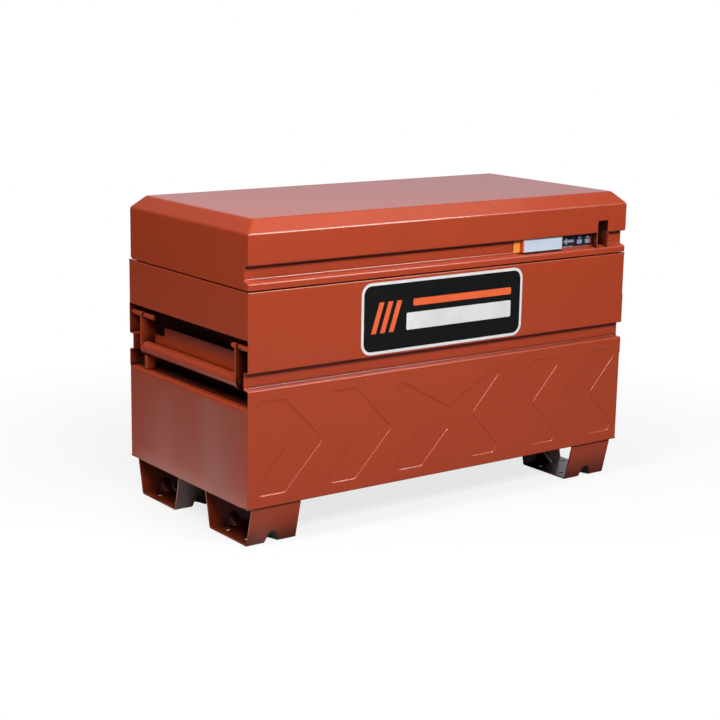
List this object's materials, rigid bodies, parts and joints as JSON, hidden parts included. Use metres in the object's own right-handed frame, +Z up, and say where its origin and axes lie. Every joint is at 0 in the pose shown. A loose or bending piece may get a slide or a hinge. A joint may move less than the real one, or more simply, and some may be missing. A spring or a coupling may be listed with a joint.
{
  "type": "jobsite storage box",
  "caption": "Steel jobsite storage box with a bevelled lift-up lid on gas struts, a sliding lock, pressed chevrons, drop handles in end pockets and feet drilled for casters.",
  "frame": {"origin": "centre of the box on the floor, under its overall box", "axes": "+X to the box's right end seen from the front, +Y from the front to the hinge side, +Z up"},
  "size_m": [1.0668, 0.5084, 0.6985],
  "materials": {
    "body_paint": "satin brown-orange powder coat",
    "seal_rubber": "matt sponge rubber",
    "plated_steel": "zinc plated",
    "decal_film": "printed film",
    "marker_orange": "gloss",
    "strut_black": "gloss black paint",
    "strut_rod": "polished"
  },
  "bodies": {
    "case": {"front_panel": "body_paint", "back_panel": "body_paint", "left_lower_end": "body_paint", "right_lower_end": "body_paint", "left_upper_end": "body_paint", "right_upper_end": "body_paint", "left_pocket_liner": "body_paint", "right_pocket_liner": "body_paint", "floor_panel": "body_paint", "front_left_foot": "body_paint", "front_right_foot": "body_paint", "rear_left_foot": "body_paint", "rear_right_foot": "body_paint", "mouth_seal": "seal_rubber", "hinge_case_leaf": "plated_steel", "hinge_pin": "plated_steel", "hinge_case_rivets": "plated_steel", "lock_keepers": "plated_steel", "front_decal": "decal_film", "left_handle_pins": "body_paint", "right_handle_pins": "body_paint", "left_handle_stop": "body_paint", "right_handle_stop": "body_paint", "left_strut_bracket": "plated_steel", "right_strut_bracket": "plated_steel"},
    "lid": {"lid_shell": "body_paint", "lid_left_end": "body_paint", "lid_right_end": "body_paint", "lid_left_stiffener": "body_paint", "lid_right_stiffener": "body_paint", "lid_centre_stiffener": "body_paint", "hinge_lid_leaf": "plated_steel", "hinge_lid_rivets": "plated_steel", "padlock_housing": "body_paint", "padlock_staple": "plated_steel", "lock_label": "decal_film", "lock_marker": "marker_orange", "lock_stop": "body_paint", "lock_guides": "plated_steel", "lid_left_strut_bracket": "plated_steel", "lid_right_strut_bracket": "plated_steel", "lid_bracket_screws": "plated_steel"},
    "lock_slider": {"lock_bar": "plated_steel", "slide_plate": "plated_steel", "slide_studs": "plated_steel"},
    "left_handle": {"left_handle_arms": "body_paint", "left_handle_web": "body_paint", "left_handle_grip": "body_paint"},
    "right_handle": {"right_handle_arms": "body_paint", "right_handle_web": "body_paint", "right_handle_grip": "body_paint"},
    "left_cylinder": {"left_strut_cylinder": "strut_black"},
    "left_rod": {"left_strut_rod": "strut_rod"},
    "right_cylinder": {"right_strut_cylinder": "strut_black"},
    "right_rod": {"right_strut_rod": "strut_rod"}
  },
  "joints": [
    {"name": "lid_hinge", "type": "hinge", "parent": "case", "child": "lid", "pos_m": [0, 0.2505, 0.5555], "axis": [-1, 0, 0], "range_deg": [0, 85]},
    {"name": "lock_slide", "type": "slide", "parent": "lid", "child": "lock_slider", "axis": [1, 0, 0], "range_m": [0, 0.03]},
    {"name": "left_handle_swing", "type": "hinge", "parent": "case", "child": "left_handle", "pos_m": [-0.5229, 0, 0.43], "axis": [0, 1, 0], "range_deg": [0, 90]},
    {"name": "right_handle_swing", "type": "hinge", "parent": "case", "child": "right_handle", "pos_m": [0.5229, 0, 0.43], "axis": [0, -1, 0], "range_deg": [0, 90]},
    {"name": "left_strut_swing", "type": "hinge", "parent": "case", "child": "left_cylinder", "pos_m": [-0.455, 0.1105, 0.3755], "axis": [-1, 0, 0], "range_deg": [0, 13]},
    {"name": "left_strut_extend", "type": "slide", "parent": "left_cylinder", "child": "left_rod", "axis": [0, 0.2545, 0.9671], "range_m": [0, 0.1092]},
    {"name": "right_strut_swing", "type": "hinge", "parent": "case", "child": "right_cylinder", "pos_m": [0.455, 0.1105, 0.3755], "axis": [-1, 0, 0], "range_deg": [0, 13]},
    {"name": "right_strut_extend", "type": "slide", "parent": "right_cylinder", "child": "right_rod", "axis": [0, 0.2545, 0.9671], "range_m": [0, 0.1092]}
  ],
  "couplings": [
    {"joint": "left_strut_swing", "follows": "lid_hinge", "ratio": 0.1526},
    {"joint": "left_strut_extend", "follows": "lid_hinge", "m_per_rad": 0.073553},
    {"joint": "right_strut_swing", "follows": "lid_hinge", "ratio": 0.1526},
    {"joint": "right_strut_extend", "follows": "lid_hinge", "m_per_rad": 0.073553}
  ]
}
